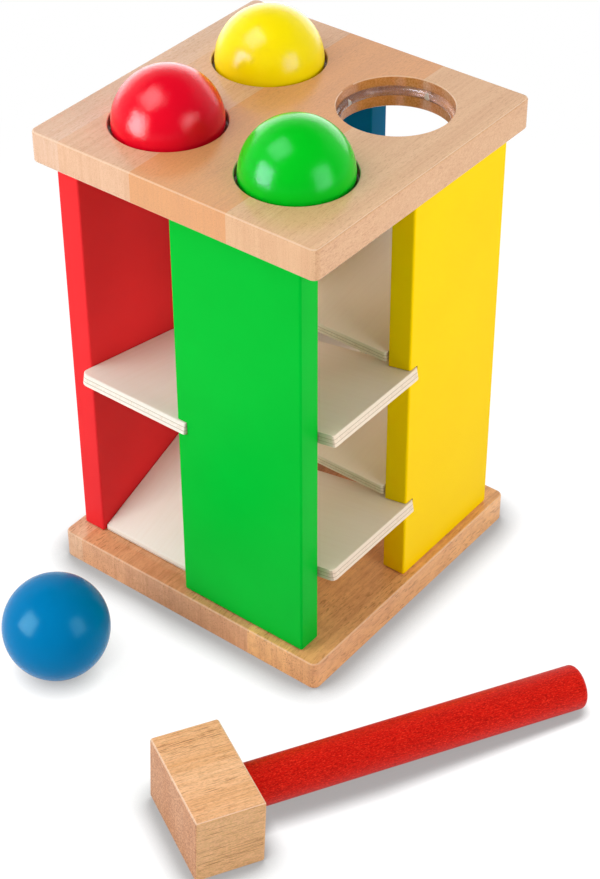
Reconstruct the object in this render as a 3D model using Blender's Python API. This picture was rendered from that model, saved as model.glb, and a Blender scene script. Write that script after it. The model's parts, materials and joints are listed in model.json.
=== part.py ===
"""Pound and roll tower: a wooden hammering toy, in metres, +Z up.

Two beech plates hold four painted panels, set as a pinwheel round the tower's axis.
A ball knocked through a hole in the top plate drops on a plywood ramp and runs down
the spiral of ramps, one in each quarter of the tower, until it rolls out at the front.

The origin is the centre of the base plate's underside. The tower repeats by quarter
turns: turn 0 is the green panel's side (-Y), and turns 1, 2 and 3 are the yellow (+X),
blue (+Y) and red (-X) panels' sides.
"""
from math import acos, atan2, cos, pi, radians, sin, sqrt, tan

import bmesh
import bpy
from mathutils import Matrix, Vector

# Fits
FIT_GAP = 0.0003              # between pieces that touch
BALL_CLEARANCE = 0.0012       # between a ball and the wall of its hole
DROP_CLEARANCE = 0.0011       # between a falling ball and the panel beside it
RAMP_PASS_GAP = 0.0009        # between the low end of a ramp and the next ramp under it
EXIT_SIDE_CLEARANCE = 0.0009  # between the exit ramp and the ramp or panel beside it

# Balls and their holes
BALL_DIAMETER = 0.049
HOLE_WEB = 0.0174             # wood left between neighbouring holes
HOLE_EASE = 0.0004            # chamfer on the hole's rims
RING_BEAD = 0.0044            # thickness of the clear ring's round bead
RING_DEPTH = 0.0072           # from the plate's top face down to the bead's middle
RING_SINK = 0.0003            # from the hole's wall out to the bead's middle
RING_SLIT = 0.0008            # width of the slits that let the ring flex
RING_SLITS = 4
BLUE_BALL_PLACE = (-0.0260, -0.1342)

# Plates
PLATE_THICKNESS = 0.015
PLATE_CORNER_RADIUS = 0.0035
PLATE_EDGE_RADIUS = 0.0010

# Panels
PANEL_HEIGHT = 0.206
PANEL_THICKNESS = 0.012
PANEL_SETBACK = 0.004         # from the plate's side to the panel's outer face
PANEL_END_SETBACK = 0.0107    # from the plate's side to the panel's far end
PANEL_OVERLAP = 0.0032        # how far each panel runs past the tower's axis
PANEL_EDGE_RADIUS = 0.0010
NOTCH_DEPTH = 0.0055          # of the slanted slot in the panel's edge

# Ramps
RAMP_THICKNESS = 0.006
RAMP_SLOPE = radians(10.5)
RAMP_PROUD = 0.001            # how far a ramp stands out of the panel's outer face
RAMP_OVERHANG = 0.0041        # how far its low end runs past the tower's axis
RAMP_CORNER_RADIUS = 0.0012
RAMP_EDGE_RADIUS = 0.0005
LOWEST_RAMP_RISE = 0.0302     # above the base plate, measured at the tower's axis
EXIT_SLOPE = radians(22.0)
EXIT_SETBACK = 0.0085         # from the panel's outer face to the exit ramp's nose
EXIT_NOSE = 0.003             # height of the nose on the base plate

# Fasteners
FASTENER_SPACING = 0.040      # between the two in each end of a panel
DOWEL_DIAMETER = 0.006
DOWEL_LENGTH = 0.024
DOWEL_IN_PLATE = 0.008
DOWEL_CHAMFER = 0.0008
SCREW_DIAMETER = 0.004
SCREW_LENGTH = 0.035
SCREW_HEAD_DIAMETER = 0.008
SCREW_HEAD_RIM = 0.0005
SCREW_HEAD_RECESS = 0.0006    # below the base plate's underside
SCREW_POINT = 0.004

# Hammer, lying on the floor on its head's inner edge and the end of its handle
HEAD_LENGTH = 0.052           # across the handle
HEAD_WIDTH = 0.031            # along the handle
HEAD_HEIGHT = 0.034
HEAD_EDGE_RADIUS = 0.001
HANDLE_DIAMETER = 0.020
HANDLE_REACH = 0.162          # outside the head
HANDLE_SOCKET = 0.022         # inside the head
HANDLE_END_RADIUS = 0.0022
HAMMER_PLACE = (0.0957, -0.1535)
HAMMER_HEADING = radians(62.0)

# How finely round shapes are divided
HOLE_STEPS = 32
BEAD_STEPS = 8
BALL_STEPS = 24
FASTENER_STEPS = 12
HANDLE_STEPS = 24
CORNER_STEPS = 4
EASE_STEPS = 2
CUT_OVERSHOOT = 0.002         # how far a cutter runs past the face that it opens
MERGE_DISTANCE = 1e-7         # between points that a turned shape shares
SHARP_ANGLE = radians(35.0)

# Worked out from the sizes above
BALL_RADIUS = BALL_DIAMETER / 2
HOLE_RADIUS = BALL_RADIUS + BALL_CLEARANCE
HOLE_OFFSET = HOLE_RADIUS + HOLE_WEB / 2
PANEL_INNER = HOLE_OFFSET + BALL_RADIUS + DROP_CLEARANCE
PANEL_OUTER = PANEL_INNER + PANEL_THICKNESS
PLATE_HALF = PANEL_OUTER + PANEL_SETBACK
PANEL_END = PLATE_HALF - PANEL_END_SETBACK
PANEL_WIDTH = PANEL_END + PANEL_OVERLAP
PANEL_CENTRE = PANEL_END - PANEL_WIDTH / 2
PANEL_MIDDLE = PANEL_OUTER - PANEL_THICKNESS / 2
BASE_TOP = PLATE_THICKNESS
PANEL_FOOT = BASE_TOP + FIT_GAP
PANEL_HEAD = PANEL_FOOT + PANEL_HEIGHT
TOP_UNDER = PANEL_HEAD + FIT_GAP
TOP_FACE = TOP_UNDER + PLATE_THICKNESS
BEAD_RADIUS = RING_BEAD / 2
RING_RADIUS = HOLE_RADIUS + RING_SINK
RING_HEIGHT = TOP_FACE - RING_DEPTH
BALL_REST = RING_HEIGHT + sqrt((BALL_RADIUS + BEAD_RADIUS + FIT_GAP) ** 2 - RING_RADIUS ** 2)
RAMP_STEP = (PANEL_INNER + RAMP_OVERHANG) * tan(RAMP_SLOPE) + RAMP_THICKNESS / cos(RAMP_SLOPE) + RAMP_PASS_GAP
LOWEST_RAMP_HEIGHT = BASE_TOP + LOWEST_RAMP_RISE
NOTCH_END = NOTCH_DEPTH - PANEL_OVERLAP

PANEL_NAMES = ("green", "yellow", "blue", "red")
QUARTER_NAMES = ("left", "front", "right", "back")
RAMP_TURNS = (1, 2, 3, 0, 1, 2, 3)  # the panel that holds each ramp, from the lowest ramp up
LOWER_RAMPS = 3                     # how many of them a ball reaches last, above the exit ramp

for leftover in list(bpy.data.objects):
    bpy.data.objects.remove(leftover, do_unlink=True)


def material(name, colour, roughness, transmission=0.0, metallic=0.0):
    """A Principled material with one linear RGB colour."""
    finish = bpy.data.materials.new(name)
    finish.use_nodes = True
    shader = finish.node_tree.nodes["Principled BSDF"]
    shader.inputs["Base Color"].default_value = (*colour, 1.0)
    shader.inputs["Roughness"].default_value = roughness
    shader.inputs["Metallic"].default_value = metallic
    shader.inputs["Transmission Weight"].default_value = transmission
    return finish


def quarter(turn):
    """The rotation that carries turn 0's side of the tower to another side."""
    return Matrix.Rotation(turn * pi / 2, 4, "Z")


def node(name, shape, finish, place=Matrix(), parent=None):
    """Turn a bmesh into a named object with one material and smooth shading."""
    mesh = bpy.data.meshes.new(name)
    shape.to_mesh(mesh)
    shape.free()
    mesh.materials.append(finish)
    mesh.shade_smooth()
    mesh.set_sharp_from_angle(angle=SHARP_ANGLE)
    piece = bpy.data.objects.new(name, mesh)
    piece.parent = parent
    piece.matrix_local = place
    bpy.context.collection.objects.link(piece)
    return piece


def cut(piece, shapes):
    """Cut a list of separate closed shapes, given in the piece's own frame, out of a piece."""
    joined = bmesh.new()
    for shape in shapes:
        copy = bpy.data.meshes.new("copy")
        shape.to_mesh(copy)
        shape.free()
        joined.from_mesh(copy)
        bpy.data.meshes.remove(copy)
    mesh = bpy.data.meshes.new(piece.name + "_cutter")
    joined.to_mesh(mesh)
    joined.free()
    cutter = bpy.data.objects.new(piece.name + "_cutter", mesh)
    cutter.parent = piece
    cutter.hide_render = True
    cutter.display_type = "WIRE"
    bpy.context.collection.objects.link(cutter)
    boolean = piece.modifiers.new("cut", "BOOLEAN")
    boolean.operation = "DIFFERENCE"
    boolean.solver = "EXACT"
    boolean.object = cutter


def block(low, high):
    """A plain box between two corners."""
    low, high = Vector(low), Vector(high)
    shape = bmesh.new()
    bmesh.ops.create_cube(shape, size=1.0)
    bmesh.ops.scale(shape, vec=high - low, verts=shape.verts)
    bmesh.ops.translate(shape, vec=(low + high) / 2, verts=shape.verts)
    return shape


def ease(shape, edges, radius, steps=EASE_STEPS):
    """Round the given edges of a shape."""
    bmesh.ops.bevel(shape, geom=edges, offset=radius, segments=steps, profile=0.5, affect="EDGES")


def board(low, high, corner_radius, edge_radius):
    """A flat board with round corners in plan and eased edges above and below."""
    shape = block(low, high)
    upright = [edge for edge in shape.edges if abs(edge.verts[0].co.z - edge.verts[1].co.z) > FIT_GAP]
    ease(shape, upright, corner_radius, CORNER_STEPS)
    level = [edge for edge in shape.edges if abs(edge.verts[0].co.z - edge.verts[1].co.z) < FIT_GAP]
    ease(shape, level, edge_radius)
    return shape


def turned(profile, steps, ring=False):
    """Spin a profile of (radius, height) points round Z. A ring's profile is a closed loop."""
    shape = bmesh.new()
    points = [shape.verts.new((radius, 0.0, height)) for radius, height in profile]
    edges = [shape.edges.new(pair) for pair in zip(points, points[1:])]
    if ring:
        edges.append(shape.edges.new((points[-1], points[0])))
    bmesh.ops.spin(shape, geom=points + edges, cent=(0, 0, 0), axis=(0, 0, 1), angle=2 * pi,
                   steps=steps, use_merge=True)
    bmesh.ops.remove_doubles(shape, verts=shape.verts, dist=MERGE_DISTANCE)
    bmesh.ops.recalc_face_normals(shape, faces=shape.faces)
    return shape


def moved(shape, place):
    """The same shape, carried to a place."""
    bmesh.ops.transform(shape, matrix=place, verts=shape.verts)
    return shape


def hole_centre(turn):
    """The axis of the hole in the quarter to the left of a turn's panel."""
    return quarter(turn) @ Vector((-HOLE_OFFSET, -HOLE_OFFSET, 0.0))


def fastener_spots(turn):
    """Where the two fasteners stand in the end of a turn's panel."""
    spots = [Vector((PANEL_CENTRE + side * FASTENER_SPACING / 2, -PANEL_MIDDLE, 0.0)) for side in (-1, 1)]
    return [quarter(turn) @ spot for spot in spots]


# Materials
beech = material("beech", (0.78, 0.52, 0.34), 0.45)
plywood = material("birch_plywood", (0.80, 0.70, 0.56), 0.50)
clear_plastic = material("clear_plastic", (0.95, 0.95, 0.95), 0.08, transmission=1.0)
dowel_wood = material("dowel_birch", (0.74, 0.58, 0.38), 0.55)
screw_steel = material("zinc_plated_steel", (0.60, 0.60, 0.58), 0.35, metallic=1.0)
handle_stain = material("red_stain", (0.52, 0.01, 0.01), 0.35)
PAINTS = {
    "green": material("green_paint", (0.0, 0.58, 0.07), 0.35),
    "yellow": material("yellow_paint", (1.0, 0.68, 0.0), 0.35),
    "blue": material("blue_paint", (0.0, 0.17, 0.45), 0.35),
    "red": material("red_paint", (0.72, 0.01, 0.015), 0.35),
}


# Ramps: boards between one panel's inner face and the notch in the next panel's edge
def ramp_place(height):
    """Slope a ramp down towards the tower's axis, through its surface height on the axis."""
    return Matrix.Translation((0.0, 0.0, height)) @ Matrix.Rotation(-RAMP_SLOPE, 4, "X")


def ramp_shape(height):
    """A ramp on turn 0's side, sloping down towards +Y."""
    high_end = -(PANEL_OUTER + RAMP_PROUD) / cos(RAMP_SLOPE)
    low_end = RAMP_OVERHANG / cos(RAMP_SLOPE)
    shape = board((-PANEL_INNER + FIT_GAP, high_end, -RAMP_THICKNESS),
                  (NOTCH_END - FIT_GAP, low_end, 0.0), RAMP_CORNER_RADIUS, RAMP_EDGE_RADIUS)
    return moved(shape, ramp_place(height))


def notch_shape(height):
    """The slanted slot for a ramp, cut through the edge of turn 0's panel."""
    reach = (PANEL_OUTER + CUT_OVERSHOOT) / cos(RAMP_SLOPE) + RAMP_THICKNESS
    shape = block((-PANEL_OVERLAP - CUT_OVERSHOOT, -reach, -RAMP_THICKNESS - FIT_GAP),
                  (NOTCH_END, RAMP_THICKNESS - PANEL_INNER + CUT_OVERSHOOT, FIT_GAP))
    return moved(shape, ramp_place(height))


notch_heights = {turn: [] for turn in range(4)}
for level, turn in enumerate(RAMP_TURNS):
    height = LOWEST_RAMP_HEIGHT + level * RAMP_STEP
    storey = "lower" if level < LOWER_RAMPS else "upper"
    notch_heights[turn].append(height)
    node(f"{storey}_{QUARTER_NAMES[turn]}_ramp", ramp_shape(height), plywood, quarter(turn))


def exit_ramp_shape():
    """The last ramp, cut flat on the base plate and sloping up from its nose towards +Y."""
    nose = -PANEL_OUTER + EXIT_SETBACK
    foot = BASE_TOP + FIT_GAP
    back = PANEL_OVERLAP
    back_height = foot + EXIT_NOSE + (back - nose) * tan(EXIT_SLOPE)
    heel = back + RAMP_THICKNESS * sin(EXIT_SLOPE)
    heel_height = back_height - RAMP_THICKNESS * cos(EXIT_SLOPE)
    under = heel - (heel_height - foot) / tan(EXIT_SLOPE)
    outline = ((nose, foot), (under, foot), (heel, heel_height), (back, back_height), (nose, foot + EXIT_NOSE))
    left = -PANEL_INNER + FIT_GAP
    right = -max(PANEL_OVERLAP, RAMP_OVERHANG) - EXIT_SIDE_CLEARANCE
    shape = bmesh.new()
    side = shape.faces.new([shape.verts.new((left, y, z)) for y, z in outline])
    swept = bmesh.ops.extrude_face_region(shape, geom=[side])["geom"]
    corners = [item for item in swept if isinstance(item, bmesh.types.BMVert)]
    bmesh.ops.translate(shape, vec=(right - left, 0.0, 0.0), verts=corners)
    bmesh.ops.recalc_face_normals(shape, faces=shape.faces)
    ease(shape, list(shape.edges), RAMP_EDGE_RADIUS)
    return shape


node("exit_ramp", exit_ramp_shape(), plywood)


# Fasteners and their bores
def bore(radius, low, high):
    """A round cutter between two heights."""
    return turned(((0.0, low), (radius, low), (radius, high), (0.0, high)), FASTENER_STEPS)


SCREW_RADIUS = SCREW_DIAMETER / 2
SCREW_HEAD_RADIUS = SCREW_HEAD_DIAMETER / 2
SCREW_RIM_TOP = SCREW_HEAD_RECESS + SCREW_HEAD_RIM
SCREW_NECK = SCREW_RIM_TOP + SCREW_HEAD_RADIUS - SCREW_RADIUS
SCREW_TIP = SCREW_HEAD_RECESS + SCREW_LENGTH
DOWEL_RADIUS = DOWEL_DIAMETER / 2
DOWEL_TOP = TOP_UNDER + DOWEL_IN_PLATE
DOWEL_BOTTOM = DOWEL_TOP - DOWEL_LENGTH


def screw_shape():
    """A countersunk wood screw, head down."""
    return turned(((0.0, SCREW_HEAD_RECESS), (SCREW_HEAD_RADIUS, SCREW_HEAD_RECESS),
                   (SCREW_HEAD_RADIUS, SCREW_RIM_TOP), (SCREW_RADIUS, SCREW_NECK),
                   (SCREW_RADIUS, SCREW_TIP - SCREW_POINT), (0.0, SCREW_TIP)), FASTENER_STEPS)


def countersink_shape():
    """The countersunk screw hole through the base plate."""
    mouth = SCREW_HEAD_RADIUS + FIT_GAP
    shank = SCREW_RADIUS + FIT_GAP
    return turned(((0.0, -CUT_OVERSHOOT), (mouth, -CUT_OVERSHOOT), (mouth, SCREW_RIM_TOP), (shank, SCREW_NECK),
                   (shank, BASE_TOP + CUT_OVERSHOOT), (0.0, BASE_TOP + CUT_OVERSHOOT)), FASTENER_STEPS)


def dowel_shape():
    """A round wooden dowel with chamfered ends."""
    end = DOWEL_RADIUS - DOWEL_CHAMFER
    return turned(((0.0, DOWEL_BOTTOM), (end, DOWEL_BOTTOM), (DOWEL_RADIUS, DOWEL_BOTTOM + DOWEL_CHAMFER),
                   (DOWEL_RADIUS, DOWEL_TOP - DOWEL_CHAMFER), (end, DOWEL_TOP), (0.0, DOWEL_TOP)), FASTENER_STEPS)


for turn, panel in enumerate(PANEL_NAMES):
    for number, spot in enumerate(fastener_spots(turn), start=1):
        node(f"base_screw_{panel}_{number}", screw_shape(), screw_steel, Matrix.Translation(spot))
        node(f"top_dowel_{panel}_{number}", dowel_shape(), dowel_wood, Matrix.Translation(spot))


# Panels: eased boards with notches for their ramps and bores for their fasteners
def panel_bores():
    """The pilot holes and dowel holes in turn 0's panel."""
    shapes = []
    for spot in fastener_spots(0):
        pilot = bore(SCREW_RADIUS + FIT_GAP, PANEL_FOOT - CUT_OVERSHOOT, SCREW_TIP + FIT_GAP)
        socket = bore(DOWEL_RADIUS + FIT_GAP, DOWEL_BOTTOM - FIT_GAP, PANEL_HEAD + CUT_OVERSHOOT)
        shapes += [moved(shape, Matrix.Translation(spot)) for shape in (pilot, socket)]
    return shapes


for turn, name in enumerate(PANEL_NAMES):
    shape = block((-PANEL_OVERLAP, -PANEL_OUTER, PANEL_FOOT), (PANEL_END, -PANEL_INNER, PANEL_HEAD))
    ease(shape, list(shape.edges), PANEL_EDGE_RADIUS)
    panel = node(f"{name}_panel", shape, PAINTS[name], quarter(turn))
    cut(panel, [notch_shape(height) for height in notch_heights[turn]] + panel_bores())


# Plates
def hole_shape():
    """A ball hole through the top plate, with eased rims and a round groove for the ring."""
    rim = HOLE_RADIUS + HOLE_EASE + CUT_OVERSHOOT
    groove = BEAD_RADIUS + FIT_GAP
    half_arc = acos(-RING_SINK / groove)
    angles = [half_arc * (2 * step / BEAD_STEPS - 1) for step in range(BEAD_STEPS + 1)]
    groove_points = [(RING_RADIUS + groove * cos(angle), RING_HEIGHT + groove * sin(angle)) for angle in angles]
    low, high = TOP_UNDER, TOP_FACE
    profile = [(0.0, low - CUT_OVERSHOOT), (rim, low - CUT_OVERSHOOT), (HOLE_RADIUS, low + HOLE_EASE)]
    profile += groove_points
    profile += [(HOLE_RADIUS, high - HOLE_EASE), (rim, high + CUT_OVERSHOOT), (0.0, high + CUT_OVERSHOOT)]
    return turned(profile, HOLE_STEPS)


def plate_shape(low):
    """A square plate standing on a height."""
    return board((-PLATE_HALF, -PLATE_HALF, low), (PLATE_HALF, PLATE_HALF, low + PLATE_THICKNESS),
                 PLATE_CORNER_RADIUS, PLATE_EDGE_RADIUS)


all_spots = [spot for turn in range(4) for spot in fastener_spots(turn)]
base_plate = node("base_plate", plate_shape(0.0), beech)
cut(base_plate, [moved(countersink_shape(), Matrix.Translation(spot)) for spot in all_spots])

top_plate = node("top_plate", plate_shape(TOP_UNDER), beech)
ball_holes = [moved(hole_shape(), Matrix.Translation(hole_centre(turn))) for turn in range(4)]
dowel_holes = [moved(bore(DOWEL_RADIUS + FIT_GAP, TOP_UNDER - CUT_OVERSHOOT, DOWEL_TOP + FIT_GAP),
                     Matrix.Translation(spot)) for spot in all_spots]
cut(top_plate, ball_holes + dowel_holes)


# Retaining rings: round beads of clear plastic, slit from inside so that they flex
def ring_shape():
    """A bead in the groove of a hole, round the hole's axis."""
    angles = [2 * pi * step / BEAD_STEPS for step in range(BEAD_STEPS)]
    profile = [(RING_RADIUS + BEAD_RADIUS * cos(angle), RING_HEIGHT + BEAD_RADIUS * sin(angle)) for angle in angles]
    return turned(profile, HOLE_STEPS, ring=True)


def slit_shapes():
    """The slits, from the ring's inside out to the middle of its bead."""
    low = (RING_RADIUS - BEAD_RADIUS - CUT_OVERSHOOT, -RING_SLIT / 2, RING_HEIGHT - BEAD_RADIUS - CUT_OVERSHOOT)
    high = (RING_RADIUS, RING_SLIT / 2, RING_HEIGHT + BEAD_RADIUS + CUT_OVERSHOOT)
    turns = [Matrix.Rotation(2 * pi * slit / RING_SLITS, 4, "Z") for slit in range(RING_SLITS)]
    return [moved(block(low, high), turn) for turn in turns]


for turn, quarter_name in enumerate(QUARTER_NAMES):
    ring = node(f"{quarter_name}_ring", ring_shape(), clear_plastic, Matrix.Translation(hole_centre(turn)))
    cut(ring, slit_shapes())


# Balls: three held by their rings, and the blue one on the floor
def ball(colour, centre):
    """A painted ball with its origin at its centre."""
    shape = bmesh.new()
    bmesh.ops.create_uvsphere(shape, u_segments=BALL_STEPS, v_segments=BALL_STEPS // 2, radius=BALL_RADIUS)
    node(f"{colour}_ball", shape, PAINTS[colour], Matrix.Translation(centre))


for turn, colour in ((0, "red"), (1, "green"), (3, "yellow")):
    ball(colour, hole_centre(turn) + Vector((0.0, 0.0, BALL_REST)))
ball("blue", Vector((*BLUE_BALL_PLACE, BALL_RADIUS)))


# Hammer, in its own frame: the handle points along +X and the head's inner lower edge is at the origin
HANDLE_RADIUS = HANDLE_DIAMETER / 2
HANDLE_HEIGHT = HEAD_HEIGHT / 2
HAMMER_TILT = atan2(HANDLE_HEIGHT - HANDLE_RADIUS, HANDLE_REACH - HANDLE_END_RADIUS)
ALONG_HANDLE = Matrix.Translation((0.0, 0.0, HANDLE_HEIGHT)) @ Matrix.Rotation(pi / 2, 4, "Y")

hammer = bpy.data.objects.new("hammer", None)
hammer.matrix_world = (Matrix.Translation((*HAMMER_PLACE, 0.0)) @ Matrix.Rotation(HAMMER_HEADING, 4, "Z")
                       @ Matrix.Rotation(HAMMER_TILT, 4, "Y"))
bpy.context.collection.objects.link(hammer)

shape = block((-HEAD_WIDTH, -HEAD_LENGTH / 2, 0.0), (0.0, HEAD_LENGTH / 2, HEAD_HEIGHT))
ease(shape, list(shape.edges), HEAD_EDGE_RADIUS)
hammer_head = node("hammer_head", shape, beech, parent=hammer)
socket = turned(((0.0, -HANDLE_SOCKET - FIT_GAP), (HANDLE_RADIUS + FIT_GAP, -HANDLE_SOCKET - FIT_GAP),
                 (HANDLE_RADIUS + FIT_GAP, CUT_OVERSHOOT), (0.0, CUT_OVERSHOOT)), HANDLE_STEPS)
cut(hammer_head, [moved(socket, ALONG_HANDLE)])

end_angles = [pi / 2 * step / CORNER_STEPS for step in range(CORNER_STEPS + 1)]
end_points = [(HANDLE_RADIUS - HANDLE_END_RADIUS * (1 - cos(angle)),
               HANDLE_REACH - HANDLE_END_RADIUS * (1 - sin(angle))) for angle in end_angles]
handle_profile = [(0.0, -HANDLE_SOCKET), (HANDLE_RADIUS, -HANDLE_SOCKET)] + end_points + [(0.0, HANDLE_REACH)]
handle = moved(turned(handle_profile, HANDLE_STEPS), ALONG_HANDLE)
node("hammer_handle", handle, handle_stain, parent=hammer)
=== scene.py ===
# %% [markdown]
# # Pound and roll tower
# A child hammers wooden balls through ringed holes in the top of this tower, and each ball runs down
# a spiral of plywood ramps and out at the front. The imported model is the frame: it says where every
# piece is and how large. This script models each piece again with finer edges, gives it a finish made
# of nodes, and sets it on a white floor under soft studio light.

# %% Load the frame
import json
from math import asin, atan2, cos, pi, radians, sin

import bmesh
import bpy
import numpy as np
from mathutils import Matrix, Vector


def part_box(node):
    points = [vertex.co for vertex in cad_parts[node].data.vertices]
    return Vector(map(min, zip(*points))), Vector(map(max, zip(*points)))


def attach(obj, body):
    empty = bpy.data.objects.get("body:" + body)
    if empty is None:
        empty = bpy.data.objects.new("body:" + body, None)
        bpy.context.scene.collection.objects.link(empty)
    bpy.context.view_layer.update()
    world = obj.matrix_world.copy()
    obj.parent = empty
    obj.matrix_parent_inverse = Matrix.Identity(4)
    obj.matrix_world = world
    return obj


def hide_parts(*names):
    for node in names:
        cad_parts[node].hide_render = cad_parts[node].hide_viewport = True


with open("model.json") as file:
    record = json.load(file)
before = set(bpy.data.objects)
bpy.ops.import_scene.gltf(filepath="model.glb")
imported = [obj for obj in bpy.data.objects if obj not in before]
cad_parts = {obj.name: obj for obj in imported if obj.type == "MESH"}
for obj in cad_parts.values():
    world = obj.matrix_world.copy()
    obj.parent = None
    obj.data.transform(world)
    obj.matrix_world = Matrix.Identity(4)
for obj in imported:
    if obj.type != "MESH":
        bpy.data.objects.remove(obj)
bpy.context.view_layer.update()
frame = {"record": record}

node_body = {node: body for body, nodes in frame["record"]["behaviour"]["bodies"].items() for node in nodes}

# %% [markdown]
# ## Camera
# The camera's place was worked out from the corners of the two plates in the photograph. It looks down
# at the tower's front corner from about a metre away. The photograph isn't centred on the point that
# the camera looked at, so the lens is shifted by the difference.

# %% Camera
PHOTO_SIZE = (600, 879)             # pixels
PHOTO_AXIS = (284.75, 348.13)       # the pixel that the camera points at
FOCAL_PIXELS = 2126.8
CAMERA_TURN = radians(38.44)        # from the tower's front, -Y, towards its right side, +X
CAMERA_RISE = radians(36.16)
CAMERA_ROLL = radians(-0.54)
CAMERA_AIM = Vector((0.0, 0.0, 0.113))
CAMERA_DISTANCE = 0.975
SENSOR_MM = 36.0

towards_camera = Vector((sin(CAMERA_TURN) * cos(CAMERA_RISE),
                         -cos(CAMERA_TURN) * cos(CAMERA_RISE), sin(CAMERA_RISE)))
bpy.ops.object.select_all(action="DESELECT")
bpy.ops.object.camera_add(location=CAMERA_AIM + CAMERA_DISTANCE * towards_camera)
camera = bpy.context.object
level = (-towards_camera).to_track_quat("-Z", "Y").to_matrix()
camera.rotation_euler = (level @ Matrix.Rotation(CAMERA_ROLL, 3, "Z")).to_euler()
camera.data.sensor_width = SENSOR_MM
camera.data.lens = SENSOR_MM * FOCAL_PIXELS / max(PHOTO_SIZE)
camera.data.shift_x = (PHOTO_SIZE[0] / 2 - PHOTO_AXIS[0]) / max(PHOTO_SIZE)
camera.data.shift_y = (PHOTO_AXIS[1] - PHOTO_SIZE[1] / 2) / max(PHOTO_SIZE)
bpy.context.scene.camera = camera
print(f"camera: {camera.data.lens:.1f} mm lens, shift {camera.data.shift_x:.3f}, {camera.data.shift_y:.3f}")

# %% [markdown]
# ## Light
# Each ball in the photograph mirrors three soft boxes: one at the left, one overhead and one at the
# right. The place of a mirrored box on a ball gives the direction that it is seen in, and the lines from
# several balls cross where the box stood, about two thirds of a metre away. So close, the boxes shine in
# under the top plate and onto the ramps. At the photograph's exposure their mirror images, and the
# sweep's, are far brighter than the light that they give, so each is doubled: the lamp lights the piece,
# and its gleam shows only in gloss. The gleams of the two boxes at the sides show on all four balls, and
# those of the overhead box and the sweep on the tower's three balls and its clear rings, which is what
# the photograph shows. A tall box is brightest near its top, so its lamp hangs higher than its gleam.

# %% Soft boxes
SOFT_BOXES = {
    # the gleam's place, the lamp's rise above it, width and height, in metres, the lamp's power and its gleam's
    "left": ((-0.285, -0.632, 0.333), 0.05, (0.40, 0.43), 2.5, 14.5),
    "top": ((-0.220, -0.360, 0.920), 0.0, (0.54, 0.50), 2.2, 9.0),
    "right": ((0.630, -0.030, 0.340), 0.05, (0.35, 0.43), 1.87, 5.2),
}
SWEEP_CARD = ((-0.622, 0.783, 0.37), (2.4, 0.74), 12.0)     # the sweep's gleam: place, size and power
TOWER_CENTRE = Vector((0.0, 0.0, 0.12))     # where the lamps point

gloss = bpy.data.collections.new("glossy_balls")
tower_gloss = bpy.data.collections.new("glossy_tower_balls_and_rings")


def soft_box(name, place, size, power, aim):
    """A rectangular lamp that the camera doesn't see."""
    bpy.ops.object.light_add(type="AREA", location=place)
    lamp = bpy.context.object
    lamp.name = name
    lamp.rotation_euler = (aim - Vector(place)).to_track_quat("-Z", "Y").to_euler()
    lamp.data.shape = "RECTANGLE"
    lamp.data.size, lamp.data.size_y = size
    lamp.data.energy = power
    lamp.visible_camera = False
    return lamp


gleams = {}
for name, (place, rise, size, power, shine) in SOFT_BOXES.items():
    hung = Vector(place) + Vector((0.0, 0.0, rise))
    lamp = soft_box(f"{name}_soft_box", hung, size, power, TOWER_CENTRE)
    lamp.visible_glossy = False
    lamp.data.cycles.use_multiple_importance_sampling = False   # or it would hide its gleam from gloss
    gleams[name] = soft_box(f"{name}_gleam", place, size, shine, TOWER_CENTRE)
place, size, shine = SWEEP_CARD
gleams["sweep"] = soft_box("sweep_gleam", place, size, shine, Vector((0.0, 0.0, place[2])))
for name, gleam in gleams.items():
    gleam.visible_diffuse = False
    gleam.light_linking.receiver_collection = gloss if name in ("left", "right") else tower_gloss
print(f"{len(SOFT_BOXES)} soft boxes and {len(gleams)} gleams")

# %% [markdown]
# ## White room
# Behind the tower hangs a white paper sweep, and white cards stand round the table: they light the inside
# of the tower. Both are so large and so even that they are made as part of the world and not as lamps. The
# camera sees the world at full white, and gloss mirrors the white sweep and a dimmer room in front. Shader
# nodes make it, so the function that adds a node comes first, and the one that turns a colour to linear.


# %% A node helper
def add(tree, kind, inputs=None, **settings):
    """Add one shader node. Settings are its properties, inputs its sockets' values or what feeds them."""
    made = tree.nodes.new("ShaderNode" + kind)
    for name, value in settings.items():
        setattr(made, name, value)
    for name, value in (inputs or {}).items():
        if isinstance(value, bpy.types.NodeSocket):
            tree.links.new(value, made.inputs[name])
        else:
            made.inputs[name].default_value = value
    return made


def linear(code):
    """Turn an sRGB hex colour into the linear colour that shaders use."""
    channels = [int(code[place:place + 2], 16) / 255 for place in (1, 3, 5)]
    return tuple(c / 12.92 if c <= 0.04045 else ((c + 0.055) / 1.055) ** 2.4 for c in channels) + (1.0,)


# %% White room
ROOM_FILL = 0.25                    # how strongly the room lights the piece from all round
CARD_FILL = 0.18                    # how much more the white cards round the table do
SWEEP_FILL = 0.90                   # and the sweep behind the tower
ROOM_SHINE = 0.15                   # how bright the room is in gloss, where the white sweep is 1
SWEEP_HEADING = (-0.622, 0.783, 0.0)
SWEEP_SIDES = (-0.3, 0.5)           # it fades in between these cosines from its heading
SWEEP_TOP = (0.64, 0.77)            # cards and sweep fade out between these sines of the height

world = bpy.data.worlds.new("white_room")
bpy.context.scene.world = world
world.use_nodes = True
room = world.node_tree
room.nodes.clear()
print("the world is", world.name)

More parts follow.
